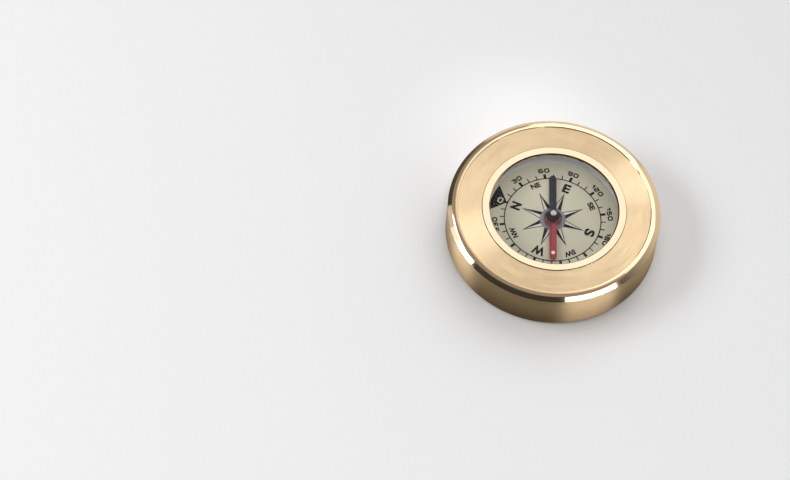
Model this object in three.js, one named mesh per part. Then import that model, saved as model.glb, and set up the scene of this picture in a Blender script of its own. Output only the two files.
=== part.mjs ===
// A brass pocket compass: a turned case, a bezel ring that holds the crystal,
// a dial on its base plate, and a needle that swings on a point.
// Millimetres, +Z up. The origin is the middle of the flat back.
// The dial's zero mark lies towards +Y and its 90 degree mark towards +X.

import * as THREE from "three";

// Rings seen from above, each measured outwards from the one before
const windowRadius = 15.0;
const bezelWidth = 2.0;
const faceWidth = 5.6;
const beadWidth = 1.4;
const chamferWidth = 1.0;

// Case heights
const caseHeight = 11.0;
const beadDrop = 0.29;
const faceStep = 0.15;
const chamferDrop = 0.68;
const backChamfer = 0.6;

// Bezel ring: a lip over the crystal, bevelled round the window, and a skirt pressed into the case
const bezelProud = 0.15;
const bezelDish = 0.1;
const bezelEdge = 0.12;
const bezelLip = 0.65;
const windowBevel = 0.3;
const skirtLength = 0.95;
const shoulderWidth = 0.45;

// Pieces stacked in the case, from the bezel's lip downwards
const gasketThickness = 0.25;
const gasketSetback = 0.2;
const crystalThickness = 1.5;
const crystalEdge = 0.15;
const linerWall = 0.25;
const linerFootWidth = 0.2;
const linerFootRise = 0.6;
const linerFootLand = 0.08;
const dialThickness = 0.5;
const basePlateThickness = 1.5;
const padThickness = 0.3;
const padMargin = 1.5;

// Pivot: a flanged bush in the base plate, and a steel point in the bush
const pinRadius = 0.3;
const pinTaper = 1.2;
const bushWall = 0.87;
const flangeRadius = 3.05;
const flangeThickness = 0.2;

// Needle: a flat blade with a round boss, and a bell-shaped cap whose spigot goes through it
const needleBearing = 68.8;
const needleTipGap = 4.5;
const bladeWidth = 1.7;
const bladeThickness = 0.35;
const bossRadius = 2.1;
const spigotWall = 0.35;
const capShoulder = 0.15;
const capHeight = 1.9;
const capEdge = 0.1;
const capWall = 0.27;
const skirtWidth = 0.4;
const skirtEdge = 0.16;
const skirtRise = 0.9;
const collarWidth = 0.7;
const collarThickness = 0.25;
const jewelSeat = 0.6;
const jewelStand = 0.05;
const jewelEdge = 0.12;
const cupRadius = 0.35;
const cupDepth = 0.3;
const dotRadius = 0.45;
const dotThickness = 0.1;
const dotInset = 1.7;

// Clearances
const pressClearance = 0.04;
const cavityClearance = 0.1;
const shankClearance = 0.05;
const pinClearance = 0.03;
const capClearance = 0.2;
const jewelClearance = 0.03;
const pivotGap = 0.06;
const hubGap = 0.3;
const needleHeadroom = 0.15;

// Roundness of the large rings, the hub, the bead, the cap's skirt and the blade's ends
const ringSegments = 72;
const hubSegments = 32;
const beadSteps = 6;
const skirtSteps = 6;
const bladeSegments = 12;

// Radii of the case, worked outwards, and of the bore that takes the inner pieces
const bezelRadius = windowRadius + bezelWidth;
const faceRadius = bezelRadius + faceWidth;
const beadRadius = faceRadius + beadWidth;
const caseRadius = beadRadius + chamferWidth;
const cavityRadius = bezelRadius - shoulderWidth;
const insertRadius = cavityRadius - cavityClearance;
const linerRadius = insertRadius - linerWall;
const linerFootRadius = linerRadius - linerFootWidth;

// Radii of the hub, worked outwards from the pin
const bushBore = pinRadius + pinClearance;
const shankRadius = bushBore + bushWall;
const shankHole = shankRadius + shankClearance;
const capBore = pinRadius + capClearance;
const spigotRadius = capBore + spigotWall;
const spigotHole = spigotRadius + shankClearance;
const capRadius = spigotRadius + capShoulder;
const skirtRadius = capRadius + skirtWidth;
const jewelHole = capRadius - capWall;
const jewelRadius = jewelHole - jewelClearance;
const needleReach = linerFootRadius - needleTipGap;

// Levels, worked downwards from the top of the case
const beadEdgeLevel = caseHeight - beadDrop;
const faceLevel = caseHeight - faceStep;
const wallTopLevel = beadEdgeLevel - chamferDrop;
const bezelTopLevel = faceLevel + bezelProud;
const windowLevel = bezelTopLevel - bezelDish;
const lipLevel = windowLevel - bezelLip;
const shoulderLevel = lipLevel - skirtLength;
const crystalTopLevel = lipLevel - gasketThickness;
const crystalLevel = crystalTopLevel - crystalThickness;

// The liner is as tall as the needle's parts and the room over and under them
const needleLift = flangeThickness + hubGap + collarThickness;
const hubHeight = needleLift + bladeThickness + capHeight + jewelStand;
const dialLevel = crystalLevel - needleHeadroom - hubHeight;
const basePlateTopLevel = dialLevel - dialThickness;
const basePlateLevel = basePlateTopLevel - basePlateThickness;
const floorLevel = basePlateLevel - padThickness;

// Levels of the needle, worked upwards from the dial
const flangeTopLevel = dialLevel + flangeThickness;
const bladeLevel = dialLevel + needleLift;
const collarLevel = bladeLevel - collarThickness;
const bladeTopLevel = bladeLevel + bladeThickness;
const capTopLevel = bladeTopLevel + capHeight;
const jewelLevel = capTopLevel - jewelSeat;
const jewelTopLevel = capTopLevel + jewelStand;
const cupLevel = jewelLevel + cupDepth;
const pinTipLevel = cupLevel - pivotGap;

function finish(color, roughness, metalness) {
  return new THREE.MeshStandardMaterial({ color, roughness, metalness });
}

// Revolves a profile of [radius, level] points about the compass axis.
// Profiles run outwards along the underside, up the outside and back in over the top.
function turned(name, profile, segments, material) {
  const points = profile.map(([radius, level]) => new THREE.Vector2(radius, level));
  const geometry = new THREE.LatheGeometry(points, segments);
  geometry.rotateX(Math.PI / 2);
  const mesh = new THREE.Mesh(geometry, material);
  mesh.name = name;
  return mesh;
}

// A ring's profile ends where it starts
function closed(profile) {
  return [...profile, profile[0]];
}

// A flat washer or, with no bore, a disc
function flatRing(bore, radius, bottom, top) {
  const rim = [[radius, bottom], [radius, top]];
  if (bore > 0) {
    return closed([[bore, bottom], ...rim, [bore, top]]);
  }
  return [[0, bottom], ...rim, [0, top]];
}

// Points of a round-over from its outer edge inwards: an arc that ends level at its inner edge
function roundOver(outer, inner, topLevel, drop) {
  const width = outer - inner;
  const arcRadius = (width * width + drop * drop) / (2 * drop);
  return Array.from({ length: beadSteps + 1 }, (_, step) => {
    const offset = width - (width * step) / beadSteps;
    return [inner + offset, topLevel - arcRadius + Math.sqrt(arcRadius ** 2 - offset ** 2)];
  });
}

// Points of a hollow quarter curve from a flat rim up into an upright side
function flare(radius, width, level, rise) {
  return Array.from({ length: skirtSteps + 1 }, (_, step) => {
    const turn = (Math.PI / 2) * (step / skirtSteps);
    return [radius + width * (1 - Math.sin(turn)), level + rise * (1 - Math.cos(turn))];
  });
}

function makeCase(material) {
  const profile = [
    [0, 0],
    [caseRadius - backChamfer, 0],
    [caseRadius, backChamfer],
    [caseRadius, wallTopLevel],
    ...roundOver(beadRadius, faceRadius, caseHeight, beadDrop),
    [faceRadius, faceLevel],
    [bezelRadius, faceLevel],
    [bezelRadius, shoulderLevel],
    [cavityRadius, shoulderLevel],
    [cavityRadius, floorLevel],
    [0, floorLevel],
  ];
  return turned("case_body", profile, ringSegments, material);
}

function makeBezel(material) {
  const outside = bezelRadius - pressClearance;
  const profile = closed([
    [windowRadius, lipLevel],
    [cavityRadius, lipLevel],
    [cavityRadius, shoulderLevel],
    [outside, shoulderLevel],
    [outside, bezelTopLevel - bezelEdge],
    [outside - bezelEdge, bezelTopLevel],
    [windowRadius + windowBevel, windowLevel],
    [windowRadius, windowLevel - windowBevel],
  ]);
  return turned("bezel_ring", profile, ringSegments, material);
}

function makeGasket(material) {
  const profile = flatRing(windowRadius + gasketSetback, insertRadius, crystalTopLevel, lipLevel);
  return turned("crystal_gasket", profile, ringSegments, material);
}

function makeCrystal(material) {
  const profile = [
    [0, crystalLevel],
    [insertRadius - crystalEdge, crystalLevel],
    [insertRadius, crystalLevel + crystalEdge],
    [insertRadius, crystalTopLevel - crystalEdge],
    [insertRadius - crystalEdge, crystalTopLevel],
    [0, crystalTopLevel],
  ];
  return turned("crystal", profile, ringSegments, material);
}

// An upright wall whose foot slopes in to the edge of the dial
function makeLiner(material) {
  const profile = closed([
    [linerFootRadius, dialLevel],
    [insertRadius, dialLevel],
    [insertRadius, crystalLevel],
    [linerRadius, crystalLevel],
    [linerRadius, dialLevel + linerFootRise],
    [linerFootRadius, dialLevel + linerFootLand],
  ]);
  return turned("liner_ring", profile, ringSegments, material);
}

function makeDial(material) {
  const profile = flatRing(shankHole, insertRadius, basePlateTopLevel, dialLevel);
  return turned("dial_plate", profile, ringSegments, material);
}

function makeBasePlate(material) {
  const profile = flatRing(shankHole, insertRadius, basePlateLevel, basePlateTopLevel);
  return turned("base_plate", profile, ringSegments, material);
}

function makePad(material) {
  const profile = flatRing(0, insertRadius - padMargin, floorLevel, basePlateLevel);
  return turned("bedding_pad", profile, ringSegments, material);
}

// The shank goes down through the dial and the base plate, the flange lies on the dial
function makeBush(material) {
  const profile = closed([
    [bushBore, basePlateLevel],
    [shankRadius, basePlateLevel],
    [shankRadius, dialLevel],
    [flangeRadius, dialLevel],
    [flangeRadius, flangeTopLevel],
    [bushBore, flangeTopLevel],
  ]);
  return turned("pivot_bush", profile, hubSegments, material);
}

function makePin(material) {
  const profile = [
    [0, basePlateLevel],
    [pinRadius, basePlateLevel],
    [pinRadius, pinTipLevel - pinTaper],
    [0, pinTipLevel],
  ];
  return turned("pivot_pin", profile, hubSegments, material);
}

// Outline along +Y: two round-ended arms that meet a round boss, with the spigot's hole
function makeBlade(material) {
  const half = bladeWidth / 2;
  const endCentre = needleReach - half;
  const armAngle = Math.asin(half / bossRadius);
  const armRoot = bossRadius * Math.cos(armAngle);
  const outline = new THREE.Shape();
  outline.moveTo(half, armRoot);
  outline.absarc(0, endCentre, half, 0, Math.PI);
  outline.lineTo(-half, armRoot);
  outline.absarc(0, 0, bossRadius, Math.PI / 2 + armAngle, 1.5 * Math.PI - armAngle);
  outline.absarc(0, -endCentre, half, Math.PI, 2 * Math.PI);
  outline.lineTo(half, -armRoot);
  outline.absarc(0, 0, bossRadius, armAngle - Math.PI / 2, Math.PI / 2 - armAngle);
  const hole = new THREE.Path();
  hole.absarc(0, 0, spigotHole, 0, 2 * Math.PI);
  outline.holes.push(hole);
  const settings = { depth: bladeThickness, bevelEnabled: false, curveSegments: bladeSegments };
  const mesh = new THREE.Mesh(new THREE.ExtrudeGeometry(outline, settings), material);
  mesh.position.z = bladeLevel;
  mesh.name = "needle_blade";
  return mesh;
}

// A spigot through the blade under a bell-shaped head, bored for the pin and sunk for the jewel
function makeCap(material) {
  const profile = closed([
    [capBore, collarLevel],
    [spigotRadius, collarLevel],
    [spigotRadius, bladeTopLevel],
    [skirtRadius, bladeTopLevel],
    ...flare(capRadius, skirtWidth, bladeTopLevel + skirtEdge, skirtRise),
    [capRadius, capTopLevel - capEdge],
    [capRadius - capEdge, capTopLevel],
    [jewelHole, capTopLevel],
    [jewelHole, jewelLevel],
    [capBore, jewelLevel],
  ]);
  return turned("needle_cap", profile, hubSegments, material);
}

// A disc with a conical cup underneath for the pin's point
function makeJewel(material) {
  const profile = [
    [0, cupLevel],
    [cupRadius, jewelLevel],
    [jewelRadius, jewelLevel],
    [jewelRadius, jewelTopLevel - jewelEdge],
    [jewelRadius - jewelEdge, jewelTopLevel],
    [0, jewelTopLevel],
  ];
  return turned("cap_jewel", profile, hubSegments, material);
}

function makeCollar(material) {
  const profile = flatRing(spigotHole, spigotHole + collarWidth, collarLevel, bladeLevel);
  return turned("cap_collar", profile, hubSegments, material);
}

// A spot of paint thickness near the tip of the arm that points away from +Y
function makeDot(material) {
  const profile = flatRing(0, dotRadius, bladeTopLevel, bladeTopLevel + dotThickness);
  const mesh = turned("needle_dot", profile, hubSegments, material);
  mesh.position.y = dotInset - needleReach;
  return mesh;
}

const brushedBrass = finish(0xdcb679, 0.38, 1.0);
const polishedBrass = finish(0xe9cf95, 0.12, 1.0);
const glass = finish(0xf2f5f4, 0.02, 0.0);
const blackRubber = finish(0x2a2a2a, 0.8, 0.0);
const greyAluminium = finish(0xb4b6ba, 0.42, 0.3);
const dialPaint = finish(0xc4bea8, 0.55, 0.0);
const plateBrass = finish(0xc29a55, 0.5, 1.0);
const padFoam = finish(0x3a3a3c, 0.9, 0.0);
const nickel = finish(0x8c8894, 0.5, 0.5);
const steel = finish(0xa8abb0, 0.22, 1.0);
const needlePaint = finish(0x2b2b33, 0.45, 0.2);
const blackPlastic = finish(0x1c1c1f, 0.35, 0.0);
const jewelGlass = finish(0xc3c6ca, 0.1, 0.0);
const collarBrass = finish(0xb78f4c, 0.4, 1.0);
const dotPaint = finish(0xf3d9d4, 0.5, 0.0);

const compass = new THREE.Group();
compass.add(makeCase(brushedBrass));
compass.add(makeBezel(polishedBrass));
compass.add(makeGasket(blackRubber));
compass.add(makeCrystal(glass));
compass.add(makeLiner(greyAluminium));
compass.add(makeDial(dialPaint));
compass.add(makeBasePlate(plateBrass));
compass.add(makePad(padFoam));
compass.add(makeBush(nickel));
compass.add(makePin(steel));

// The needle turns as one, and bearings run clockwise from +Y
const needle = new THREE.Group();
needle.add(makeBlade(needlePaint));
needle.add(makeCap(blackPlastic));
needle.add(makeJewel(jewelGlass));
needle.add(makeCollar(collarBrass));
needle.add(makeDot(dotPaint));
needle.rotation.z = -THREE.MathUtils.degToRad(needleBearing);
compass.add(needle);

export default compass;
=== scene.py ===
import math
import bpy
import numpy as np
from mathutils import Matrix, Vector


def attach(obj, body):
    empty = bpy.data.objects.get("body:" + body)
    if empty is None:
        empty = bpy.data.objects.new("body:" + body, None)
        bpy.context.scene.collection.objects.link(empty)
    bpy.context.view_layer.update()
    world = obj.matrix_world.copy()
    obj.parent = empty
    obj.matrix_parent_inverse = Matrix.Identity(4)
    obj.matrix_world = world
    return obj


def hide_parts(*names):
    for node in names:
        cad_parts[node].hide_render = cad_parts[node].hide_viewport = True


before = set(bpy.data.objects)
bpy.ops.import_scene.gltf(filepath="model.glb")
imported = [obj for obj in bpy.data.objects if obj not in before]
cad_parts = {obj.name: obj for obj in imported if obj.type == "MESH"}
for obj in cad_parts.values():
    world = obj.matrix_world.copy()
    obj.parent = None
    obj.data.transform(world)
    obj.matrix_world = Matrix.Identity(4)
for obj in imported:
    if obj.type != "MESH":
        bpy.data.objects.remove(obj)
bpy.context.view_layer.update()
scene = bpy.context.scene
scene.view_settings.view_transform = "Standard"
mm = 0.001
tiny = 1e-6                  # a length or a bend below this counts as none
arcPoints, arcStep = 3, 15   # fewest points of a fillet, and the degrees of bend that add one more
ringSides = 360              # facets round the large rings
bushSides = 192              # round the bush
hubSides = 96                # round the needle's hub
pinSides = 48                # round the pin and the needle's dot
print("frame loaded,", len(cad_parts), "nodes")


def newObject(name, data):
    made = bpy.data.objects.new(name, data)
    scene.collection.objects.link(made)
    return made


def spotsOf(mesh):
    # the vertices as rows of x, y and z
    spots = np.empty(len(mesh.vertices) * 3)
    mesh.vertices.foreach_get("co", spots)
    return spots.reshape(-1, 3)


def sizeOf(node):
    # widest radius about the compass axis, lowest and highest level of a node, in mm
    spots = spotsOf(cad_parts[node].data) / mm
    return np.hypot(spots[:, 0], spots[:, 1]).max(), spots[:, 2].min(), spots[:, 2].max()


# radius, underside and top of each node
caseR, caseBottom, caseTop = sizeOf("case_body")
bezelR, bezelShoulder, bezelTop = sizeOf("bezel_ring")
gasketR, gasketBottom, gasketTop = sizeOf("crystal_gasket")
crystalR, crystalBottom, crystalTop = sizeOf("crystal")
linerR, linerBottom, linerTop = sizeOf("liner_ring")
dialR, dialBottom, dialTop = sizeOf("dial_plate")
baseR, baseBottom, baseTop = sizeOf("base_plate")
padR, padBottom, padTop = sizeOf("bedding_pad")
bushR, bushBottom, bushTop = sizeOf("pivot_bush")
pinR, pinBottom, pinTop = sizeOf("pivot_pin")
bladeReach, bladeBottom, bladeTop = sizeOf("needle_blade")
capR, capBottom, capTop = sizeOf("needle_cap")
jewelR, jewelBottom, jewelTop = sizeOf("cap_jewel")
collarR, collarBottom, collarTop = sizeOf("cap_collar")
dotReach, dotBottom, dotTop = sizeOf("needle_dot")


# camera, as the photograph was taken
photo = dict(
    width=790, height=480,        # picture in pixels
    focal=3000,                   # focal length in pixels
    sensor=36,                    # width, mm
    clip=(0.05, 20),              # nearest and farthest point seen, m
    topCentre=(554.4, 207.9),     # pixel of the middle of the bezel's top
    distance=703.1,               # from that point, mm
    azimuth=-76.3, elevation=57.8,
    lean=8.6,                     # turn of the picture about the line of sight, degrees
)


def lookFrom(azimuth, elevation):
    # unit vector towards a viewer: azimuth 0 stands at -Y, elevation is above the horizon
    a, e = math.radians(azimuth), math.radians(elevation)
    return Vector((math.sin(a) * math.cos(e), -math.cos(a) * math.cos(e), math.sin(e)))


def makeCamera():
    # the camera faces the aim point, then turns until that point falls on its pixel
    data = bpy.data.cameras.new("photoCamera")
    data.sensor_width = photo["sensor"]
    data.lens = photo["focal"] * photo["sensor"] / photo["width"]
    data.clip_start, data.clip_end = photo["clip"]
    aim = Vector((0, 0, bezelTop * mm))
    back = lookFrom(photo["azimuth"], photo["elevation"])
    facing = back.to_track_quat("Z", "Y").to_matrix()
    across = (photo["topCentre"][0] - photo["width"] / 2) / photo["focal"]
    down = (photo["topCentre"][1] - photo["height"] / 2) / photo["focal"]
    sight = Vector((across, -down, -1)).normalized()
    offAxis = Vector((0, 0, -1)).rotation_difference(sight).to_matrix()
    lean = Matrix.Rotation(math.radians(photo["lean"]), 3, sight)
    stance = facing @ (lean @ offAxis).inverted()
    camera = newObject("photoCamera", data)
    camera.matrix_world = Matrix.Translation(aim + back * photo["distance"] * mm) @ stance.to_4x4()
    scene.camera = camera


makeCamera()
print("camera placed")


# shapes
def roundedSection(corners, closed=False):
    # half section of a turned piece: each corner is radius, height and fillet, in mm, going
    # outwards below, up the outside and back over the top. A fillet is an arc about a centre one
    # fillet away from both straights, with the normal turning evenly from one to the other.
    spots = np.array([corner[:2] for corner in corners], float)
    fillets = [corner[2] for corner in corners]
    points, normals = [], []
    for i, fillet in enumerate(fillets):
        into = spots[i] - spots[i - 1]
        out = spots[(i + 1) % len(spots)] - spots[i]
        if not closed and i == 0:
            into = out
        if not closed and i == len(spots) - 1:
            out = into
        into, out = into / np.linalg.norm(into), out / np.linalg.norm(out)
        bend = math.atan2(into[0] * out[1] - into[1] * out[0], into @ out)
        steps = 1 if abs(bend) < tiny else arcPoints + int(abs(math.degrees(bend)) / arcStep)
        outward = np.array([into[1], -into[0]])
        start = spots[i] - into * fillet * math.tan(abs(bend) / 2)
        centre = start - np.sign(bend) * fillet * outward
        angle = math.atan2(outward[1], outward[0]) + np.linspace(0, bend, steps)
        normal = np.stack([np.cos(angle), np.sin(angle)], 1)
        points.append(centre + np.sign(bend) * fillet * normal if steps > 1 else spots[i:i + 1])
        normals.append(normal)
    points, normals = np.concatenate(points), np.concatenate(normals)
    if closed:
        points, normals = np.concatenate([points, points[:1]]), np.concatenate([normals, normals[:1]])
    return points, normals, closed


def washerSection(boreR, outerR, bottom, top, fillets):
    # a flat ring: bore and rim below, rim and bore above, with their fillets in that order
    radii, levels = (boreR, outerR, outerR, boreR), (bottom, bottom, top, top)
    return roundedSection(list(zip(radii, levels, fillets)), closed=True)


def discSection(outerR, bottom, top, fillets):
    # a flat disc, with the fillets of its rim below and above
    rim = zip((outerR, outerR), (bottom, top), fillets)
    return roundedSection([(0, bottom, 0), *rim, (0, top, 0)])


def putMesh(name, spots, faces, normals=None):
    # a mesh in metres from spots in mm, smooth where normals are given
    mesh = bpy.data.meshes.new(name)
    mesh.from_pydata(spots * mm, [], faces)
    mesh.polygons.foreach_set("use_smooth", np.full(len(mesh.polygons), normals is not None))
    mesh.update()
    if normals is not None:
        mesh.normals_split_custom_set_from_vertices(normals)
    return mesh


def turned(name, section, sides=ringSides, finishes=(), choose=None):
    # surface of revolution: x = r cos a, y = r sin a, z = h, with one vertex where r is zero.
    # choose gives each band's finish from the radius and height of its middle.
    points, normals, closed = section
    angle = np.linspace(0, 2 * np.pi, sides, endpoint=False)
    onAxis = points[:, 0] < tiny
    ringCount = len(points) - 1 if closed else len(points)
    used = np.where(onAxis[:ringCount], 1, sides)
    first = np.concatenate([[0], np.cumsum(used)])[:ringCount]
    rows = first[:, None] + np.where(onAxis[:ringCount, None], 0, np.arange(sides))
    if closed:
        rows = np.concatenate([rows, rows[:1]])
    circle = np.stack([np.cos(angle), np.sin(angle), np.ones(sides)], 1)
    keep = ~onAxis[:ringCount, None] | (np.arange(sides) == 0)
    spots = (points[:ringCount, None, [0, 0, 1]] * circle)[keep]
    facing = (normals[:ringCount, None, [0, 0, 1]] * circle)[keep]
    low, high = rows[:-1], rows[1:]
    quads = np.stack([low, np.roll(low, -1, 1), np.roll(high, -1, 1), high], -1)
    lowPole, highPole = onAxis[:-1], onAxis[1:]
    faces = quads[~lowPole & ~highPole].reshape(-1, 4).tolist()
    faces += quads[lowPole][..., [0, 2, 3]].reshape(-1, 3).tolist()
    faces += quads[highPole][..., [0, 1, 2]].reshape(-1, 3).tolist()
    mesh = putMesh(name, spots, faces, facing)
    for finish in finishes:
        mesh.materials.append(finish)
    if choose:
        middle = (points[:-1] + points[1:]) / 2
        band = choose(middle[:, 0], middle[:, 1])
        plain, ends = band[~lowPole & ~highPole], np.concatenate([band[lowPole], band[highPole]])
        mesh.polygons.foreach_set("material_index", np.repeat(np.concatenate([plain, ends]), sides))
    return mesh


def addPiece(name, mesh, body, slotName, *nodes):
    # the piece rides on its body and stands for the nodes named
    piece = newObject(name, mesh)
    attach(piece, body)
    if nodes:
        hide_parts(*nodes)


# finishes
def srgb(red, green, blue):
    # a colour as a painter reads it, 0 to 255, to the linear values that a shader takes
    level = np.array([red, green, blue]) / 255
    linear = np.where(level <= 0.04045, level / 12.92, ((level + 0.055) / 1.055) ** 2.4)
    return (*linear, 1)


def newFinish(name, sockets=()):
    finish = bpy.data.materials.new(name)
    finish.use_nodes = True
    shader = finish.node_tree.nodes["Principled BSDF"]
    for socket, value in dict(sockets).items():
        shader.inputs[socket].default_value = value
    return finish, finish.node_tree, shader


def node(tree, kind, inputs=(), **settings):
    # a shader node with its inputs by name or number: a socket is linked, a value is set
    made = tree.nodes.new("ShaderNode" + kind)
    for key, value in settings.items():
        setattr(made, key, value)
    for key, value in dict(inputs).items():
        if isinstance(value, bpy.types.NodeSocket):
            tree.links.new(value, made.inputs[key])
        else:
            made.inputs[key].default_value = value
    return made


def objectPlace(tree):
    return node(tree, "TexCoord").outputs["Object"]


def aroundPlace(tree, turns, lines):
    # lathe marks without a seam: (cos a, sin a) times turns, and radius plus height times lines per mm
    place = objectPlace(tree)
    flat = node(tree, "VectorMath", {0: place, 1: (1, 1, 0)}, operation="MULTIPLY").outputs[0]
    around = node(tree, "VectorMath", {0: flat}, operation="NORMALIZE").outputs[0]
    spread = node(tree, "VectorMath", {0: around, "Scale": turns}, operation="SCALE").outputs[0]
    radius = node(tree, "VectorMath", {0: flat}, operation="LENGTH").outputs["Value"]
    height = node(tree, "SeparateXYZ", {0: place}).outputs["Z"]
    across = node(tree, "Math", {0: radius, 1: height}, operation="ADD").outputs[0]
    across = node(tree, "Math", {0: across, 1: lines / mm}, operation="MULTIPLY").outputs[0]
    upright = node(tree, "CombineXYZ", {2: across}).outputs[0]
    return node(tree, "VectorMath", {0: spread, 1: upright}, operation="ADD").outputs[0]


def turningTangent(tree):
    # the way that the lathe marks run, round the compass axis
    return node(tree, "Tangent", direction_type="RADIAL", axis="Z").outputs[0]


def noise(tree, place, scale, detail=3, rough=0.55):
    inputs = {"Vector": place, "Scale": scale, "Detail": detail, "Roughness": rough}
    return node(tree, "TexNoise", inputs).outputs["Fac"]


def between(tree, value, low, high, start=0.3, end=0.7):
    # value from start to end becomes low to high
    inputs = {"Value": value, "From Min": start, "From Max": end, "To Min": low, "To Max": high}
    return node(tree, "MapRange", inputs).outputs[0]


def blendColour(tree, amount, first, second):
    return node(tree, "Mix", {0: amount, 6: first, 7: second}, data_type="RGBA").outputs[2]


def relief(tree, shader, height, strength, depth):
    # depth in mm
    inputs = {"Height": height, "Strength": strength, "Distance": depth * mm}
    tree.links.new(node(tree, "Bump", inputs).outputs[0], shader.inputs["Normal"])


def feed(tree, shader, sources):
    for socket, source in sources.items():
        tree.links.new(source, shader.inputs[socket])


def patterned(tree, shader, pattern, tones, rough, bump):
    # a pattern shifts tone and gloss and stands up a little: bump is its strength and depth in mm
    tone = blendColour(tree, between(tree, pattern, 0, 1), *[srgb(*tone) for tone in tones])
    feed(tree, shader, {"Base Color": tone, "Roughness": between(tree, pattern, *rough)})
    relief(tree, shader, pattern, *bump)


def grained(name, grain, tones, rough, bump, sockets=()):
    # a fine grain all over: its scale, detail and roughness
    finish, tree, shader = newFinish(name, sockets)
    patterned(tree, shader, noise(tree, objectPlace(tree), *grain), tones, rough, bump)
    return finish


brassTones = dict(
    bright=srgb(240, 208, 168),
    clean=srgb(250, 223, 180), deep=srgb(237, 205, 159), stain=srgb(208, 168, 118),
    ringBright=srgb(212, 186, 158), ringClean=srgb(222, 196, 166),
    # painted shade: the wall's tones are a darker copy of the face's brass, as if it mirrored dark
    # surroundings
    wallShadedClean=srgb(192, 167, 127), wallShadedDeep=srgb(173, 148, 107), wallShadedStain=srgb(142, 113, 73),
    # colour of the painted shade at the wall's foot
    foot=srgb(96, 72, 46),
)
footRise = (0.5, 8)   # painted shade at the wall's foot is full at the first height and gone at the second, mm


def brushedBrass(name, lines=7, rough=(0.37, 0.45), tones=("clean", "deep", "stain"), foot=0):
    # lathe-brushed: gloss drawn out across the marks, and streaks that follow the turning;
    # foot is the share of painted shade at the bottom, darker there and gone a few mm up
    sockets = {"Metallic": 1, "Anisotropic": 1, "Anisotropic Rotation": 0.25}
    finish, tree, shader = newFinish(name, sockets)
    streak = noise(tree, aroundPlace(tree, turns=9, lines=lines), scale=1, detail=4, rough=0.6)
    broad = noise(tree, aroundPlace(tree, turns=2.5, lines=lines / 9), scale=1, detail=2)
    cloud = noise(tree, objectPlace(tree), scale=190)
    clean, deep, stain = [brassTones[tone] for tone in tones]
    tone = blendColour(tree, between(tree, streak, 0, 0.55), clean, deep)
    tone = blendColour(tree, between(tree, cloud, 0, 0.12, start=0.45, end=0.75), tone, stain)
    height = node(tree, "SeparateXYZ", {0: objectPlace(tree)}).outputs["Z"]
    # painted shade: darker towards the bottom, as if the wall mirrored dark, shaded ground
    paintedFootShade = between(tree, height, foot, 0, *[rise * mm for rise in footRise])
    tone = blendColour(tree, paintedFootShade, tone, brassTones["foot"])
    worn = node(tree, "Math", {0: streak, 1: broad}, operation="ADD").outputs[0]
    roughness = between(tree, worn, *rough, start=0.7, end=1.3)
    feed(tree, shader, {"Base Color": tone, "Roughness": roughness, "Tangent": turningTangent(tree)})
    relief(tree, shader, streak, strength=0.35, depth=0.004)
    return finish


def polishedBrass(name, rough=(0.05, 0.11), tones=("bright", "clean")):
    # buffed bright, with soft hand marks and a few fine turning lines left in it
    finish, tree, shader = newFinish(name, {"Metallic": 1})
    smudge = noise(tree, objectPlace(tree), scale=260, detail=4, rough=0.6)
    lines = noise(tree, aroundPlace(tree, turns=4, lines=11), scale=1)
    tone = blendColour(tree, between(tree, smudge, 0, 0.35), *[brassTones[tone] for tone in tones])
    feed(tree, shader, {"Base Color": tone, "Roughness": between(tree, smudge, *rough)})
    relief(tree, shader, lines, strength=0.08, depth=0.002)
    return finish


print("finishes ready")


# case: one turned body with a brushed face, a raised bead, a chamfer and a plain back
caseShape = dict(
    backChamfer=0.6,
    chamferWidth=1.0, wallDrop=0.97,                # the wall ends this far below the top
    beadWidth=1.18, beadDrop=0.32,                  # fall over the whole bead
    kneeWidth=0.474, kneeDrop=0.1, kneeFillet=3.4,  # where the bead bends, in from its outer edge
    stepWidth=0.19, faceDrop=0.15,                  # sloping step from the bead down to the face
    pressGap=0.04, cavityGap=0.1,
    backFillet=0.15, footFillet=0.2, wallFillet=0.06, beadFillet=0.05, crestFillet=0.03,
    stepFillet=0.02, seatFillet=0.05, floorFillet=0.1,
    finishMargin=0.02,                              # slack in telling the face by radius and height
)


def caseRadii(shape):
    # outer and inner edge of the bead, and outer edge of the face
    beadR = caseR - shape["chamferWidth"]
    beadInnerR = beadR - shape["beadWidth"]
    return beadR, beadInnerR, beadInnerR - shape["stepWidth"]


def caseSection(shape):
    # out along the back, up the wall, over chamfer, bead and face, down to the bezel's seat and
    # into the cavity
    beadR, beadInnerR, faceR = caseRadii(shape)
    faceLevel = caseTop - shape["faceDrop"]
    seatR = bezelR + shape["pressGap"]
    cavityR = gasketR + shape["cavityGap"]
    return roundedSection([
        (0, caseBottom, 0),
        (caseR - shape["backChamfer"], caseBottom, shape["backFillet"]),
        (caseR, caseBottom + shape["backChamfer"], shape["footFillet"]),
        (caseR, caseTop - shape["wallDrop"], shape["wallFillet"]),
        (beadR, caseTop - shape["beadDrop"], shape["beadFillet"]),
        (beadR - shape["kneeWidth"], caseTop - shape["kneeDrop"], shape["kneeFillet"]),
        (beadInnerR, caseTop, shape["crestFillet"]),
        (faceR, faceLevel, shape["stepFillet"]),
        (seatR, faceLevel, shape["seatFillet"]),
        (seatR, bezelShoulder, shape["seatFillet"]),
        (cavityR, bezelShoulder, shape["seatFillet"]),
        (cavityR, padBottom, shape["floorFillet"]),
        (0, padBottom, 0),
    ])


def caseFinish(r, h):
    # face, polished bead and chamfer, wall with its lower edge, back
    shape = caseShape
    margin = shape["finishMargin"]
    faceR = caseRadii(shape)[2]
    wall = (r > caseR - shape["backChamfer"]) & (h < caseTop - shape["wallDrop"])
    face = (r < faceR - margin) & (h > caseTop - shape["faceDrop"] - margin)
    back = h < caseBottom + shape["backChamfer"]
    return np.select([face, wall, back], [0, 2, 3], 1)


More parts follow.
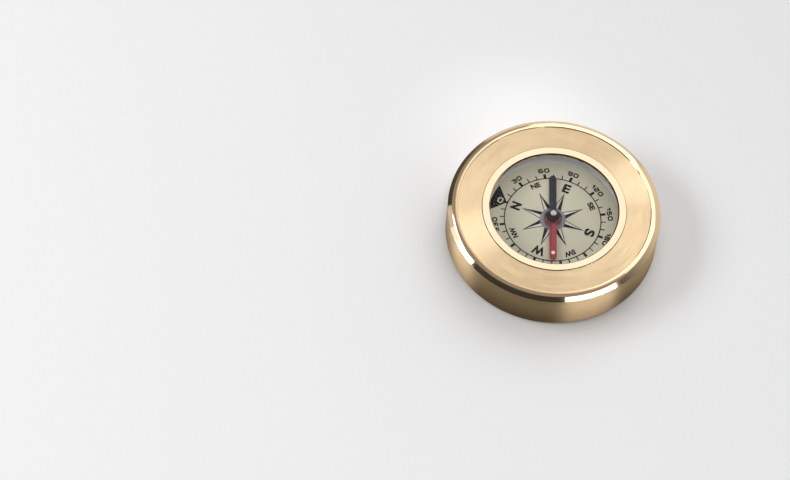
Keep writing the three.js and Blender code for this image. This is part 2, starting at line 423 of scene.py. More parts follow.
caseFinishes = [
    brushedBrass("brassFace"),
    polishedBrass("brassPolished"),
    # the wall in a darker, shaded copy of the face's brass, with painted shade deepening at its foot
    brushedBrass("brassWallShaded", lines=9, rough=(0.46, 0.52), tones=("wallShadedClean", "wallShadedDeep", "wallShadedStain"),
                 foot=0.6),
    brushedBrass("brassBack", lines=4),
]
caseMesh = turned("caseShell", caseSection(caseShape), ringSides, caseFinishes, caseFinish)
addPiece("caseShell", caseMesh, "case", "case_brass", "case_body")
print("case turned")


# bezel ring, pressed into the case
bezelShape = dict(
    windowR=15.0, chamfer=0.3, windowDrop=0.1, edge=0.12, skirtR=16.55,
    lipFillet=0.04, skirtFillet=0.05, rimFillet=0.04, topFillet=0.06, windowFillet=0.008,
    boreFillet=0.03,
)


def bezelSection(shape):
    # along the lip's underside, down the skirt, up the outside and in to the window's chamfer
    return roundedSection([
        (shape["windowR"], gasketTop, shape["lipFillet"]),
        (shape["skirtR"], gasketTop, shape["lipFillet"]),
        (shape["skirtR"], bezelShoulder, shape["skirtFillet"]),
        (bezelR, bezelShoulder, shape["skirtFillet"]),
        (bezelR, bezelTop - shape["edge"], shape["rimFillet"]),
        (bezelR - shape["edge"], bezelTop, shape["topFillet"]),
        (shape["windowR"] + shape["chamfer"], bezelTop - shape["windowDrop"], shape["windowFillet"]),
        (shape["windowR"], bezelTop - shape["windowDrop"] - shape["chamfer"], shape["boreFillet"]),
    ], closed=True)


bezelFinish = polishedBrass("brassBezel", rough=(0.07, 0.13), tones=("ringBright", "ringClean"))
bezelMesh = turned("bezelRing", bezelSection(bezelShape), ringSides, [bezelFinish])
addPiece("bezelRing", bezelMesh, "case", "bezel_brass", "bezel_ring")


# crystal and its seal
def crystalGlass():
    # clear glass with a weak coating gloss; lamps shine straight through it onto the dial
    finish, tree, shader = newFinish("crystalGlass", {
        "Base Color": srgb(252, 254, 253), "Roughness": 0.0, "IOR": 1.5, "Transmission Weight": 1,
        "Specular Tint": (0.05, 0.05, 0.05, 1)})
    rays = node(tree, "LightPath").outputs
    lightRays = {0: rays["Is Shadow Ray"], 1: rays["Is Diffuse Ray"]}
    lit = node(tree, "Math", lightRays, operation="MAXIMUM").outputs[0]
    clear = node(tree, "BsdfTransparent").outputs[0]
    mixed = node(tree, "MixShader", {0: lit, 1: shader.outputs[0], 2: clear}).outputs[0]
    tree.links.new(mixed, tree.nodes["Material Output"].inputs["Surface"])
    return finish


def sealRubber():
    # matt and nearly black
    return grained("sealRubber", grain=(2500, 3), tones=((38, 38, 38), (50, 50, 50)), rough=(0.6, 0.75),
                   bump=(0.2, 0.01), sockets={"Specular IOR Level": 0.3})


crystalShape = dict(edge=0.15, fillet=0.05, gasketBore=15.2, gasketFillets=(0.04, 0.04, 0.04, 0.04))


def crystalSection(shape):
    # a flat disc with a chamfer at its rim below and above
    edge, fillet = shape["edge"], shape["fillet"]
    return roundedSection([
        (0, crystalBottom, 0),
        (crystalR - edge, crystalBottom, fillet),
        (crystalR, crystalBottom + edge, fillet),
        (crystalR, crystalTop - edge, fillet),
        (crystalR - edge, crystalTop, fillet),
        (0, crystalTop, 0),
    ])


crystalMesh = turned("crystalDisc", crystalSection(crystalShape), ringSides, [crystalGlass()])
addPiece("crystalDisc", crystalMesh, "case", "crystal_glass", "crystal")
gasketSection = washerSection(
    crystalShape["gasketBore"], gasketR, gasketBottom, gasketTop, crystalShape["gasketFillets"])
gasketMesh = turned("crystalSeal", gasketSection, ringSides, [sealRubber()])
addPiece("crystalSeal", gasketMesh, "case", "gasket_rubber", "crystal_gasket")
print("bezel and crystal turned")


# liner between dial and crystal
def linerMetal(name, *tones):
    # satin grey, with streaks that run round the ring
    finish, tree, shader = newFinish(name, {"Metallic": 0.1, "Anisotropic": 0.4})
    streak = noise(tree, aroundPlace(tree, turns=12, lines=6), scale=1)
    patterned(tree, shader, streak, tones, rough=(0.4, 0.5), bump=(0.25, 0.006))
    return finish


linerShape = dict(
    innerR=16.22, footR=16.0, footLevel=0.08, slopeLevel=0.6,
    footFillet=0.03, rimFillet=0.05, topFillet=0.08, slopeFillet=0.3,
)
linerFinishes = [
    linerMetal("linerGrey", (202, 204, 213), (212, 213, 219)),
    linerMetal("linerFoot", (214, 212, 217), (204, 202, 207)),
]


def linerFinish(r, h):
    # grey wall, pale sloping foot
    return np.where((r < linerShape["innerR"]) & (h < linerBottom + linerShape["slopeLevel"]), 1, 0)


def linerSection(shape):
    # out under the ring, up its rim, over the top and down the inside to the sloping foot
    return roundedSection([
        (shape["footR"], linerBottom, shape["footFillet"]),
        (linerR, linerBottom, shape["rimFillet"]),
        (linerR, linerTop, shape["rimFillet"]),
        (shape["innerR"], linerTop, shape["topFillet"]),
        (shape["innerR"], linerBottom + shape["slopeLevel"], shape["slopeFillet"]),
        (shape["footR"], linerBottom + shape["footLevel"], shape["footFillet"]),
    ], closed=True)


linerMesh = turned("linerRing", linerSection(linerShape), ringSides, linerFinishes, linerFinish)
addPiece("linerRing", linerMesh, "case", "liner_metal", "liner_ring")


# dial with its print
def dialPaint():
    # matt beige, mottled and finely grained
    finish, tree, shader = newFinish("dialPaint", {"Specular IOR Level": 0.3})
    grain = noise(tree, objectPlace(tree), scale=7000, rough=0.7)
    mottle = noise(tree, objectPlace(tree), scale=280, detail=4)
    tone = blendColour(tree, between(tree, mottle, 0, 0.6), srgb(200, 193, 171), srgb(190, 183, 161))
    tone = blendColour(tree, between(tree, grain, 0, 0.25), tone, srgb(210, 204, 185))
    feed(tree, shader, {"Base Color": tone, "Roughness": between(tree, grain, 0.55, 0.7)})
    relief(tree, shader, grain, strength=0.3, depth=0.006)
    return finish


def printInk(name, *tones):
    # flat ink with a faint grain
    return grained(name, grain=(3000, 3), tones=tones, rough=(0.55, 0.65), bump=(0.03, 0.004),
                   sockets={"Specular IOR Level": 0.05})


dialShape = dict(boreR=1.35, fillets=(0.03, 0.03, 0.05, 0.03))
dialSection = washerSection(dialShape["boreR"], dialR, dialBottom, dialTop, dialShape["fillets"])
dialMesh = turned("dialPlate", dialSection, ringSides, [dialPaint()])
addPiece("dialPlate", dialMesh, "case", "dial_paint", "dial_plate")

dialPrint = dict(
    ink=0.012, sunk=0.01,                        # ink above and below the dial's surface
    paleInk=0.024,                               # pale ink above it, clear of the dark
    tickEvery=10, majorEvery=30,                 # degrees
    ringR=11.4, ringLine=0.27, ringFillets=(0.004, 0.004, 0.004, 0.004),
    tickStart=11.4, minorEnd=12.5, minorLine=0.28, majorEnd=12.65, majorLine=0.64,
    figureR=13.6, figureHigh=1.22, figureWide=1.28, oneWide=0.86, figureGap=0.16,
    figureLine=0.33, figureTurn=0.23,            # stroke, and how far before a corner its turn starts
    pointR=9.27, pointHigh=2.45, pointWide={"N": 2.07, "E": 1.82, "S": 1.95, "W": 3.1},
    pointWeight={"N": 0.055, "E": 0.045, "S": 0.05, "W": 0.05},
    quarterR=10.0, quarterHigh=1.4, quarterWeight=0.05,
    quarterWide={"NE": 2.4, "SE": 2.25, "SW": 2.75, "NW": 2.9},
    rosePoints=8, roseTip=7.95, roseBase=2.9, roseHalf=0.96, roseLine=0.19,
    zeroTip=11.6, zeroEdge=15.4, zeroSpread=14.2, zeroSteps=13, stemLine=0.5, stemEnd=12.3,
    zeroR=13.25, zeroWide=1.5, zeroHigh=1.27, zeroLine=0.27, zeroTurn=0.3,
)

# plain squarish figures as strokes between corners of a box one wide and one high;
# a stroke that comes back to its first corner is closed
figureStrokes = {
    "0": [((0, 0), (1, 0), (1, 1), (0, 1), (0, 0))],
    "1": [((0, 0.72), (1, 1), (1, 0))],
    "2": [((0, 1), (1, 1), (1, 0.54), (0, 0.46), (0, 0), (1, 0))],
    "3": [((0, 1), (1, 1), (1, 0.52), (0.3, 0.52)), ((0.3, 0.52), (1, 0.52), (1, 0), (0, 0))],
    "4": [((1, 0.28), (0, 0.28), (0.7, 1), (0.7, 0))],
    "5": [((1, 1), (0, 1), (0, 0.56), (1, 0.56), (1, 0), (0, 0))],
    "6": [((0.95, 1), (0, 1), (0, 0), (1, 0), (1, 0.54), (0, 0.54))],
    "7": [((0, 1), (1, 1), (0.35, 0))],
    "8": [((0, 0), (1, 0), (1, 0.52), (0, 0.52), (0, 0)),
          ((0, 0.52), (1, 0.52), (1, 1), (0, 1), (0, 0.52))],
    "9": [((0.05, 0), (1, 0), (1, 1), (0, 1), (0, 0.46), (1, 0.46))],
}


def onDial(flat, bearing):
    # right and up of an upright figure at north, turned clockwise to its bearing in degrees
    b = np.radians(bearing)
    across, out = flat[..., 0], flat[..., 1]
    return np.stack([across * np.cos(b) + out * np.sin(b), out * np.cos(b) - across * np.sin(b)], -1)


def inkPrisms(outlines, low, high):
    # closed prisms on outlines of equal point count: the outline at two levels, joined by its sides
    count, corners = outlines.shape[:2]
    levels = np.broadcast_to(np.array([low, high])[None, :, None, None], (count, 2, corners, 1))
    flat = np.broadcast_to(outlines[:, None], (count, 2, corners, 2))
    spots = np.concatenate([flat, levels], -1).reshape(-1, 3)
    ids = np.arange(count * 2 * corners).reshape(count, 2, corners)
    under, over = ids[:, 0], ids[:, 1]
    sides = np.stack([under, np.roll(under, -1, 1), np.roll(over, -1, 1), over], -1).reshape(-1, 4)
    return spots, under[:, ::-1].tolist() + over.tolist() + sides.tolist()


def letters(words, wide, high, weight, low, top):
    # one word as a closed prism, fitted to a box wide by high about its own centre
    curve = bpy.data.curves.new("word", "FONT")
    curve.body = words
    curve.extrude = 0.1   # any depth: the box sets it below
    curve.offset = weight
    curve.resolution_u = 6   # steps on each bend
    word = newObject("word", curve)
    shape = bpy.data.meshes.new_from_object(word.evaluated_get(bpy.context.evaluated_depsgraph_get()))
    spots = spotsOf(shape)
    faces = [tuple(face.vertices) for face in shape.polygons]
    bpy.data.objects.remove(word)
    bpy.data.curves.remove(curve)
    bpy.data.meshes.remove(shape)
    middle, span = (spots.max(0) + spots.min(0)) / 2, np.ptp(spots, axis=0)
    return (spots - middle) / span * (wide, high, top - low) + (0, 0, (low + top) / 2), faces


def joined(*pieces):
    # several (spots, faces) as one
    spots, faces, start = [], [], 0
    for some, sides in pieces:
        spots.append(some)
        faces += [[start + i for i in face] for face in sides]
        start += len(some)
    return np.concatenate(spots), faces


def placedWord(words, wide, high, radius, bearing, weight, low, top):
    # moved out to its radius and turned to its bearing
    spots, faces = letters(words, wide, high, weight, low, top)
    flat = onDial(spots[:, :2] + (0, radius), np.full(len(spots), bearing))
    return np.concatenate([flat, spots[:, 2:]], 1), faces


def strokeRibbon(corners, line, turn, low, top):
    # a stroke as a closed ribbon: half its line to each side of the path, at two levels. Each corner
    # turns on an arc that starts a set length before it, so its radius is that over tan(bend / 2).
    spots = np.array(corners, float)
    closed = np.allclose(spots[0], spots[-1])
    if closed:
        spots = spots[:-1]
    into, out = spots - np.roll(spots, 1, 0), np.roll(spots, -1, 0) - spots
    bend = np.arctan2(into[:, 0] * out[:, 1] - into[:, 1] * out[:, 0], (into * out).sum(1))
    fillets = turn / np.tan(np.abs(bend) / 2)
    path, side, closed = roundedSection(np.column_stack([spots, fillets]), closed)
    if closed:
        path, side = path[:-1], side[:-1]
    right, left = path + side * line / 2, path - side * line / 2
    levels = np.broadcast_to(np.array([low, top, top, low])[:, None, None], (4, len(path), 1))
    ids = np.arange(4 * len(path)).reshape(4, -1)
    beside = np.roll(ids, -1, 0)
    faces = np.stack([ids, np.roll(ids, -1, 1), np.roll(beside, -1, 1), beside], -1)
    if not closed:
        faces = np.concatenate([faces[:, :-1].reshape(-1, 4), [ids[:, 0], ids[::-1, -1]]])
    ribbon = np.concatenate([np.stack([right, right, left, left]), levels], -1)
    return ribbon.reshape(-1, 3), faces.reshape(-1, 4).tolist()


def placedNumber(number, bearing, p, low, top):
    # its figures side by side, upright at the bearing
    line, high = p["figureLine"], p["figureHigh"]
    wides = [p["oneWide"] if figure == "1" else p["figureWide"] for figure in number]
    start = -(sum(wides) + p["figureGap"] * (len(wides) - 1)) / 2
    pieces = []
    for figure, wide in zip(number, wides):
        for stroke in figureStrokes[figure]:
            corners = np.array(stroke) * (wide - line, high - line)
            corners += (start + line / 2, p["figureR"] - (high - line) / 2)
            spots, faces = strokeRibbon(corners, line, p["figureTurn"], low, top)
            pieces.append((np.column_stack([onDial(spots[:, :2], bearing), spots[:, 2]]), faces))
        start += wide + p["figureGap"]
    return joined(*pieces)


def bars(start, end, line):
    # upright bars: half a line to the right and to the left, from start out to end
    across = line / 2 * np.array([1, 1, -1, -1])
    out = np.where(np.array([True, False, False, True]), start, end)
    return np.stack([across, out], -1)


def roundRose(triangle, p):
    # one triangle at every point of the rose
    bearings = np.arange(p["rosePoints"]) * 360 / p["rosePoints"]
    return onDial(np.broadcast_to(triangle, (len(bearings), 3, 2)), bearings[:, None])


def darkPrint(p):
    # ticks, rose, zero wedge and its stem, numbers and letters
    low, top = dialTop - p["sunk"], dialTop + p["ink"]
    every = np.arange(0, 360, p["tickEvery"])[:, None]
    major = every % p["majorEvery"] == 0
    end = np.where(major, p["majorEnd"], p["minorEnd"])
    line = np.where(major, p["majorLine"], p["minorLine"])
    marks = onDial(bars(p["tickStart"], end, line), every)[1:]
    half, base = p["roseHalf"], p["roseBase"]
    rose = roundRose([(0, p["roseTip"]), (-half, base), (half, base)], p)
    fan = np.radians(np.linspace(p["zeroSpread"], -p["zeroSpread"], p["zeroSteps"]))
    rim = np.stack([np.sin(fan), np.cos(fan)], 1) * p["zeroEdge"]
    wedge = np.concatenate([[(0, p["zeroTip"])], rim])[None]
    stem = bars(p["tickStart"], p["stemEnd"], p["stemLine"])[None]
    pieces = [inkPrisms(shape, low, top) for shape in (marks, rose, wedge, stem)]
    for bearing in range(p["majorEvery"], 360, p["majorEvery"]):
        pieces.append(placedNumber(str(bearing), bearing, p, low, top))
    for name, bearing in zip("NESW", range(0, 360, 90)):
        wide, weight = p["pointWide"][name], p["pointWeight"][name]
        pieces.append(placedWord(name, wide, p["pointHigh"], p["pointR"], bearing, weight, low, top))
    for name, bearing in zip(("NE", "SE", "SW", "NW"), range(45, 360, 90)):
        wide, weight = p["quarterWide"][name], p["quarterWeight"]
        pieces.append(placedWord(name, wide, p["quarterHigh"], p["quarterR"], bearing, weight, low, top))
    return joined(*pieces)


def palePrint(p):
    # pale halves of the rose inside their outlines
    slope = (p["roseTip"] - p["roseBase"]) / p["roseHalf"]
    inset = p["roseLine"] * math.hypot(1, slope) / slope
    tip = p["roseTip"] - inset * slope
    base = p["roseBase"]
    halves = roundRose([(0, tip), (inset - p["roseHalf"], base), (0, base)], p)
    return inkPrisms(halves, dialTop, dialTop + p["paleInk"])


def zeroFigure(p):
    # the figure on the zero mark
    line = p["zeroLine"]
    corners = (np.array(figureStrokes["0"][0]) - 0.5) * (p["zeroWide"] - line, p["zeroHigh"] - line)
    corners += (0, p["zeroR"])
    return strokeRibbon(corners, line, p["zeroTurn"], dialTop, dialTop + p["paleInk"])


darkInk = printInk("darkInk", (36, 33, 34), (41, 38, 38))
paleInk = printInk("paleInk", (212, 208, 198), (202, 198, 188))
ring = dialPrint["ringR"]
halfLine = dialPrint["ringLine"] / 2
inkLevels = dialTop - dialPrint["sunk"], dialTop + dialPrint["ink"]
ringSection = washerSection(ring - halfLine, ring + halfLine, *inkLevels, dialPrint["ringFillets"])
ringMesh = turned("dialRingLine", ringSection, ringSides, [darkInk])
addPiece("dialRingLine", ringMesh, "case", "dial_paint")
darkMesh = putMesh("dialFigures", *darkPrint(dialPrint))
darkMesh.materials.append(darkInk)
addPiece("dialFigures", darkMesh, "case", "dial_paint")
paleMesh = putMesh("dialPaleInk", *joined(palePrint(dialPrint), zeroFigure(dialPrint)))
paleMesh.materials.append(paleInk)
addPiece("dialPaleInk", paleMesh, "case", "dial_paint")
print("dial printed")


# plate, pad and pivot under the needle
def turnedMetal(name, *tones, rough, lines=8):
    # plain metal with fine lathe marks
    sockets = {"Metallic": 1, "Anisotropic": 0.5, "Anisotropic Rotation": 0.25}
    finish, tree, shader = newFinish(name, sockets)
    streak = noise(tree, aroundPlace(tree, turns=5, lines=lines), scale=1)
    patterned(tree, shader, streak, tones, rough, bump=(0.2, 0.004))
    feed(tree, shader, {"Tangent": turningTangent(tree)})
    return finish


def padFoam():
    # dark foam, pitted by the distance to the nearest cell's middle
    finish, tree, shader = newFinish("padFoam", {"Specular IOR Level": 0.2})
    cells = node(tree, "TexVoronoi", {"Vector": objectPlace(tree), "Scale": 2600}).outputs["Distance"]
    tones = ((44, 44, 46), (72, 72, 75))
    patterned(tree, shader, cells, tones, rough=(0.75, 0.95), bump=(0.6, 0.1))
    return finish


def satinGrey():
    # tumbled grey metal, dull and slightly pink
    return grained("bushGrey", grain=(3200, 4, 0.65), tones=((143, 134, 139), (119, 111, 116)),
                   rough=(0.45, 0.6), bump=(0.4, 0.02), sockets={"Metallic": 0.35})


pivotShape = dict(
    pinTaper=1.2, pinTip=0.04, pinRound=0.02,   # length of the point, its end's radius and rise
    pinFillet=0.05, taperFillet=0.4, tipFillet=0.02,
    bushBore=0.33, shankR=1.2, plateGap=0.02,   # room round the shank in the plate
    boreFillet=0.03, shankFillet=0.05, shoulderFillet=0.03, flangeFillet=0.02, flangeRound=0.08,
    mouthFillet=0.04,
    plateFillets=(0.05, 0.1, 0.1, 0.05), padFillets=(0.05, 0.08),
)


def bushSection(shape):
    # out under the shank, up it to the flange, round the flange's rim and back to the bore
    return roundedSection([
        (shape["bushBore"], bushBottom, shape["boreFillet"]),
        (shape["shankR"], bushBottom, shape["shankFillet"]),
        (shape["shankR"], dialTop, shape["shoulderFillet"]),
        (bushR, dialTop, shape["flangeFillet"]),
        (bushR, bushTop, shape["flangeRound"]),
        (shape["bushBore"], bushTop, shape["mouthFillet"]),
    ], closed=True)


def pinSection(shape):
    # a plain shank that tapers to a rounded point
    return roundedSection([
        (0, pinBottom, 0),
        (pinR, pinBottom, shape["pinFillet"]),
        (pinR, pinTop - shape["pinTaper"], shape["taperFillet"]),
        (shape["pinTip"], pinTop - shape["pinRound"], shape["tipFillet"]),
        (0, pinTop, 0),
    ])


plateBore = pivotShape["shankR"] + pivotShape["plateGap"]
plateSection = washerSection(plateBore, baseR, baseBottom, baseTop, pivotShape["plateFillets"])
plateBrass = turnedMetal("plateBrass", (214, 176, 122), (190, 150, 98), rough=(0.3, 0.45))
plateMesh = turned("basePlate", plateSection, ringSides, [plateBrass])
addPiece("basePlate", plateMesh, "case", "plate_brass", "base_plate")
padSection = discSection(padR, padBottom, padTop, pivotShape["padFillets"])
padMesh = turned("beddingPad", padSection, ringSides, [padFoam()])
addPiece("beddingPad", padMesh, "case", "pad_foam", "bedding_pad")
bushMesh = turned("pivotBush", bushSection(pivotShape), bushSides, [satinGrey()])
addPiece("pivotBush", bushMesh, "case", "bush_nickel", "pivot_bush")
pinSteel = turnedMetal("pinSteel", (200, 202, 206), (176, 178, 184), rough=(0.12, 0.2), lines=20)
pinMesh = turned("pivotPin", pinSection(pivotShape), pinSides, [pinSteel])
addPiece("pivotPin", pinMesh, "case", "pin_steel", "pivot_pin")
print("pivot turned")


# needle: a painted bar with a round boss, at its bearing on the dial
needleShape = dict(
    bearing=68.8, half=0.85, bossR=2.1, bossInnerR=1.9, holeR=0.9, edge=0.1,
    dotR=0.45, dotFillets=(0.01, 0.06),
    bossSteps=12, tipSteps=17, edgeSteps=5,   # points on each arc
    sharpAngle=35,                            # edges that bend more stay crisp, degrees
)


def paint(name, first, second, rough=0.4, sheen=0.3):
    # sprayed enamel with a slight orange peel
    finish, tree, shader = newFinish(name, {"Specular IOR Level": sheen})
    peel = noise(tree, objectPlace(tree), scale=2200)
    speck = noise(tree, objectPlace(tree), scale=9000, detail=2)
    tone = blendColour(tree, between(tree, peel, 0, 1), srgb(*first), srgb(*second))
    roughness = between(tree, speck, rough - 0.04, rough + 0.06)
    feed(tree, shader, {"Base Color": tone, "Roughness": roughness})
    relief(tree, shader, peel, strength=0.15, depth=0.01)
    return finish


def bladeOutline(shape):
    # right half: along the bar, round its tip and back, with the boss bulging at the middle
    bend = math.asin(shape["half"] / shape["bossR"])
    boss = np.linspace(0, math.pi / 2 - bend, shape["bossSteps"])
    tipAngle = np.linspace(-math.pi / 2, math.pi / 2, shape["tipSteps"])
    lower = np.stack([np.sin(boss), -np.cos(boss)], 1) * shape["bossR"]
    tip = np.stack([np.cos(tipAngle), np.sin(tipAngle)], 1) * shape["half"]
    tip += (bladeReach - shape["half"], 0)
    upper = lower[::-1] * (1, -1)
    return np.concatenate([lower, tip, upper])


def needleBlade(shape):
    # the outline is drawn in to a circle on the boss and on to the hub's hole; rounded edges follow
    # the outline's own normals
    right = bladeOutline(shape)
    outline = np.concatenate([right[:-1], -right[:-1]])
    ahead = np.roll(outline, -1, 0) - np.roll(outline, 1, 0)
    outward = np.stack([ahead[:, 1], -ahead[:, 0]], 1)
    outward /= np.linalg.norm(outward, axis=1, keepdims=True)
    ray = outline / np.linalg.norm(outline, axis=1, keepdims=True)
    hole, boss = ray * shape["holeR"], ray * shape["bossInnerR"]
    edge = shape["edge"]
    quarter = np.linspace(0, math.pi / 2, shape["edgeSteps"])
    rows = [np.column_stack([loop, np.full(len(loop), bladeBottom)]) for loop in (hole, boss)]
    for side, level in ((-1, bladeBottom + edge), (1, bladeTop - edge)):
        for a in (quarter[::-1] if side < 0 else quarter):
            flat = outline + outward * edge * (math.cos(a) - 1)
            rows.append(np.column_stack([flat, np.full(len(flat), level + side * edge * math.sin(a))]))
    rows += [np.column_stack([loop, np.full(len(loop), bladeTop)]) for loop in (boss, hole)]
    spots = np.stack(rows)
    turn = math.radians(90 - shape["bearing"])
    c, s = math.cos(turn), math.sin(turn)
    x, y = spots[..., 0] * c - spots[..., 1] * s, spots[..., 0] * s + spots[..., 1] * c
    spots = np.stack([x, y, spots[..., 2]], -1)
    ids = np.arange(spots.shape[0] * spots.shape[1]).reshape(spots.shape[:2])
    above = np.roll(ids, -1, 0)
    faces = np.stack([ids, np.roll(ids, -1, 1), np.roll(above, -1, 1), above], -1)
    # dark arm and half of the boss, red arm, and on its half of the boss a darker red: painted shade
    # beside the cap
    redHalf = np.arange(len(outline)) >= len(right) - 1
    reach = np.linalg.norm(spots[..., :2], axis=-1).ravel()
    onBoss = (reach[ids] + reach[np.roll(above, -1, 1)]) / 2 < shape["bossR"] + tiny
    part = np.where(redHalf, np.where(onBoss, 2, 1), 0)
    return spots.reshape(-1, 3), faces.reshape(-1, 4).tolist(), part.ravel()


bladeSpots, bladeFaces, bladeParts = needleBlade(needleShape)
bladeMesh = putMesh("needleBlade", bladeSpots, bladeFaces)
bladeMesh.polygons.foreach_set("use_smooth", np.ones(len(bladeFaces), bool))
bladeMesh.set_sharp_from_angle(angle=math.radians(needleShape["sharpAngle"]))
bladeMesh.materials.append(paint("needleDark", (33, 31, 37), (40, 38, 44), rough=0.45, sheen=0.2))
bladeMesh.materials.append(paint("needleRed", (160, 52, 56), (148, 43, 48)))
# painted shade: a darker copy of the red for the boss beside the cap
bladeMesh.materials.append(paint("needleRedShaded", (118, 42, 56), (104, 36, 48), rough=0.35))
bladeMesh.polygons.foreach_set("material_index", bladeParts)
addPiece("needleBlade", bladeMesh, "needle", "needle_paint", "needle_blade")

dotSection = discSection(needleShape["dotR"], dotBottom, dotTop, needleShape["dotFillets"])
dotWhite = paint("dotWhite", (250, 226, 220), (244, 214, 208))
dotMesh = turned("needleDot", dotSection, pinSides, [dotWhite])
dotBearing = math.radians(needleShape["bearing"] + 180)
dotPlace = Vector((math.sin(dotBearing), math.cos(dotBearing), 0)) * (dotReach - needleShape["dotR"]) * mm
dotMesh.transform(Matrix.Translation(dotPlace))
addPiece("needleDot", dotMesh, "needle", "dot_paint", "needle_dot")


# hub: cap, bearing jewel and collar
hubShape = dict(
    spigotR=0.85, capBore=0.5, skirtEdge=0.16, waistR=1.05, waistRise=0.8, headR=1.0, jewelHole=0.73,
    boreFillet=0.03, spigotFillet=0.05, shoulderFillet=0.03, skirtFillet=0.04, skirtRound=0.06,
    waistFillet=0.8, headFillet=0.1, mouthFillet=0.04,
    spigotHole=0.9, collarFillets=(0.03, 0.05, 0.04, 0.03),
    cupR=0.35, cupTop=0.3, cupKneeR=0.175, cupKneeRise=0.24,   # hollow that rides on the pin
    cupFillet=0.1, cupEdge=0.02, jewelFillet=0.04, jewelRound=0.12,
)


def capSection(shape):
    # out under the spigot and up it, round the skirt, in to the waist and up to the head, then down
    # the jewel's hole to the bore
    return roundedSection([
        (shape["capBore"], capBottom, shape["boreFillet"]),
        (shape["spigotR"], capBottom, shape["spigotFillet"]),
        (shape["spigotR"], bladeTop, shape["shoulderFillet"]),
        (capR, bladeTop, shape["skirtFillet"]),
        (capR, bladeTop + shape["skirtEdge"], shape["skirtRound"]),
        (shape["waistR"], bladeTop + shape["waistRise"], shape["waistFillet"]),
        (shape["headR"], capTop, shape["headFillet"]),
        (shape["jewelHole"], capTop, shape["mouthFillet"]),
        (shape["jewelHole"], jewelBottom, shape["boreFillet"]),
        (shape["capBore"], jewelBottom, shape["boreFillet"]),
    ], closed=True)


def jewelSection(shape):
    # down the hollow to its edge, out, up the side and back over the top
    return roundedSection([
        (0, jewelBottom + shape["cupTop"], 0),
        (shape["cupKneeR"], jewelBottom + shape["cupKneeRise"], shape["cupFillet"]),
        (shape["cupR"], jewelBottom, shape["cupEdge"]),
        (jewelR, jewelBottom, shape["jewelFillet"]),
        (jewelR, jewelTop, shape["jewelRound"]),
        (0, jewelTop, 0),
    ])


def capPlastic():
    # moulded black with a gloss
    return grained("capPlastic", grain=(4000, 3), tones=((30, 29, 31), (40, 38, 40)), rough=(0.16, 0.24),
                   bump=(0.1, 0.01), sockets={"Specular IOR Level": 0.5})


def jewelStone():
    # pale grey bearing stone with faint clouding
    return grained("jewelStone", grain=(1800, 3), tones=((182, 182, 185), (164, 164, 167)),
                   rough=(0.15, 0.25), bump=(0.1, 0.01),
                   sockets={"IOR": 1.7, "Coat Weight": 0.5, "Coat Roughness": 0.05})


capMesh = turned("needleCap", capSection(hubShape), hubSides, [capPlastic()])
addPiece("needleCap", capMesh, "needle", "cap_plastic", "needle_cap")
jewelMesh = turned("capJewel", jewelSection(hubShape), hubSides, [jewelStone()])
addPiece("capJewel", jewelMesh, "needle", "jewel_glass", "cap_jewel")
collarSection = washerSection(
    hubShape["spigotHole"], collarR, collarBottom, collarTop, hubShape["collarFillets"])
collarBrass = turnedMetal("collarBrass", (222, 184, 128), (200, 160, 106), rough=(0.2, 0.3))
collarMesh = turned("capCollar", collarSection, hubSides, [collarBrass])
addPiece("capCollar", collarMesh, "needle", "collar_brass", "cap_collar")
print("needle made")


# floor, lamps and surroundings
studio = dict(
    floorHalf=4, floorTone=srgb(249, 249, 249), floorShade=srgb(244, 244, 244),
    # overhead softbox behind the compass, fading over the tent: degrees from its middle, brightness
    tentAngle=284, tentElevation=50,
    tent=((0, 1.8), (20, 1.8), (26, 0.95), (30, 0.6), (35, 0.32), (40, 0.3), (47, 0.36), (53, 0.33),
          (57, 0.12), (64, 0.06), (72, 0.05), (180, 0.03)),
    # pale backdrop low behind the compass, in the same way
    backdropAngle=304, backdropElevation=8,
    backdrop=((0, 0.8), (30, 0.7), (55, 0.32), (72, 0.03), (85, 0.0), (180, 0.0)),
    stripTint=(0.95, 0.97, 1.12),   # slightly cool, against the warm brass
    # picture angle clockwise from the right, elevation, distance, width, height in m, brightness,
    # and the turn about its own facing
    strips=dict(
        right=(39.5, 48.4, 0.8, 0.48, 0.085, 2.6, -17),
        rightLow=(48.5, 3, 0.8, 0.63, 0.08, 26.5),
        left=(185, 43, 0.8, 0.48, 0.22, 4.3),
        leftNear=(186, 33, 0.8, 0.18, 0.14, 1.25, 27),
        leftFar=(199.5, 26.3, 0.8, 0.2, 0.14, 0.66, 27),
        leftLow=(165, 3, 0.8, 0.37, 0.08, 20.5),
        back=(277, 20, 0.8, 0.46, 0.2, 1.5),
        backRight=(328, 49, 0.8, 0.4, 0.1, 0.9, -62),
    ),
    softLamps=dict(
        softRight=(40, 36, 0.8, 0.46, 0.36, 1.7),
        softLeft=(173, 37, 0.8, 0.54, 0.28, 5.8),
        fill=(90, 84, 1.1, 0.6, 0.6, 1.3),
    ),
    # snooted spot from the front: aims behind the dial and fades towards its near edge
    spot=dict(angle=65, elevation=72, distance=0.9, aimR=22, reach=24, softness=0.015, brightness=0.3),
)


def makeFloor():
    # a flat square, one face
    half = studio["floorHalf"] / mm
    spots = np.array([(-half, -half, 0), (half, -half, 0), (half, half, 0), (-half, half, 0)], float)
    mesh = putMesh("floor", spots, [(0, 1, 2, 3)])
    finish, tree, shader = newFinish("floorPaper", {"Specular IOR Level": 0.2})
    grain = noise(tree, objectPlace(tree), scale=900)
    tone = blendColour(tree, between(tree, grain, 0, 0.3), studio["floorTone"], studio["floorShade"])
    feed(tree, shader, {"Base Color": tone, "Roughness": between(tree, grain, 0.65, 0.75)})
    mesh.materials.append(finish)
    floor = newObject("floor", mesh)


def pictureBearing(angle):
    # direction on the floor of an angle in the picture, clockwise from its right, as a look azimuth
    return photo["azimuth"] + 90 - angle


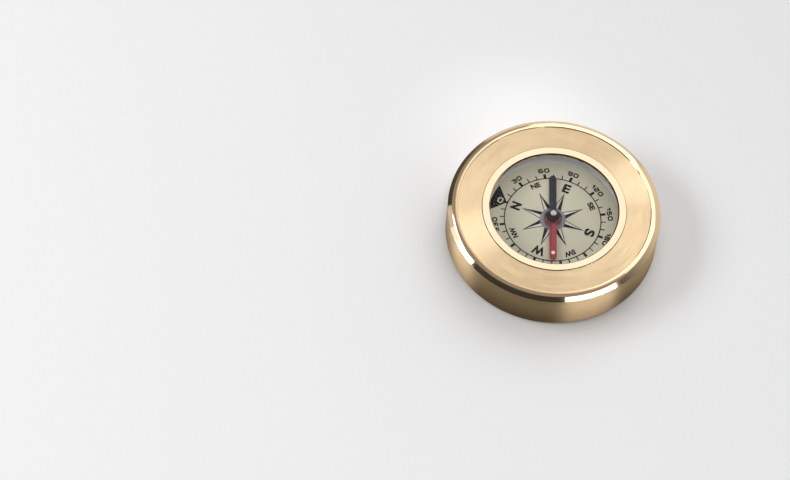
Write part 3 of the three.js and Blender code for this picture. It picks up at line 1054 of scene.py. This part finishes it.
def standLamp(data, aim, angle, elevation, distance, roll=0):
    # at its distance from the aim and facing it
    towards = lookFrom(pictureBearing(angle), elevation)
    facing = towards.to_track_quat("Z", "Y").to_matrix() @ Matrix.Rotation(math.radians(roll), 3, "Z")
    lamp = newObject(data.name, data)
    lamp.matrix_world = Matrix.Translation(aim + towards * distance) @ facing.to_4x4()
    return lamp


def makeLamp(name, angle, elevation, distance, wide, high, brightness, roll=0):
    # a panel that faces the compass, with the power that gives its face that brightness
    data = bpy.data.lights.new(name, "AREA")
    data.shape = "RECTANGLE"
    data.size, data.size_y = wide, high
    data.energy = brightness * math.pi * wide * high
    return standLamp(data, Vector((0, 0, 0)), angle, elevation, distance, roll)


def makeSpot(angle, elevation, distance, aimR, reach, softness, brightness):
    # lights the dial down to the far wall, and no floor in front of the case: a white surface at its
    # aim would show that brightness
    data = bpy.data.lights.new("dialSpot", "SPOT")
    data.energy = brightness * 4 * math.pi ** 2 * distance ** 2
    data.spot_size = 2 * math.atan(reach * mm / distance)
    data.spot_blend = 1   # fades from its middle out
    data.shadow_soft_size = softness
    aim = lookFrom(pictureBearing(angle + 180), 0) * aimR * mm + Vector((0, 0, dialTop * mm))
    standLamp(data, aim, angle, elevation, distance).visible_glossy = False


def softGlow(tree, name):
    # brightness by the angle between a direction and the glow's middle
    towards = lookFrom(pictureBearing(studio[name + "Angle"]), studio[name + "Elevation"])
    facing = node(tree, "VectorMath", {0: objectPlace(tree), 1: towards}, operation="DOT_PRODUCT")
    angle = node(tree, "Math", {0: facing.outputs["Value"]}, operation="ARCCOSINE").outputs[0]
    share = node(tree, "Math", {0: angle, 1: math.pi}, operation="DIVIDE").outputs[0]
    fade = node(tree, "ValToRGB", {0: share})
    stops = fade.color_ramp.elements
    for point in studio[name][1:-1]:
        stops.new(point[0] / 180)
    for stop, (degrees, level) in zip(stops, studio[name]):
        stop.position = degrees / 180
        stop.color = (level, level, level, 1)
    return fade.outputs[0]


def makeTent():
    # the brighter of the overhead softbox and the backdrop
    world = bpy.data.worlds.new("studioTent")
    world.use_nodes = True
    tree = world.node_tree
    glows = {0: softGlow(tree, "tent"), 1: softGlow(tree, "backdrop")}
    level = node(tree, "VectorMath", glows, operation="MAXIMUM").outputs[0]
    tree.links.new(level, tree.nodes["Background"].inputs["Color"])
    scene.world = world


makeFloor()
for name, settings in studio["strips"].items():
    lamp = makeLamp(name, *settings)
    lamp.data.color = studio["stripTint"]
    lamp.visible_diffuse = False   # shine on the brass
for name, settings in studio["softLamps"].items():
    makeLamp(name, *settings).visible_glossy = False    # light the paint and the floor
makeSpot(**studio["spot"])
makeTent()
print("studio lit")
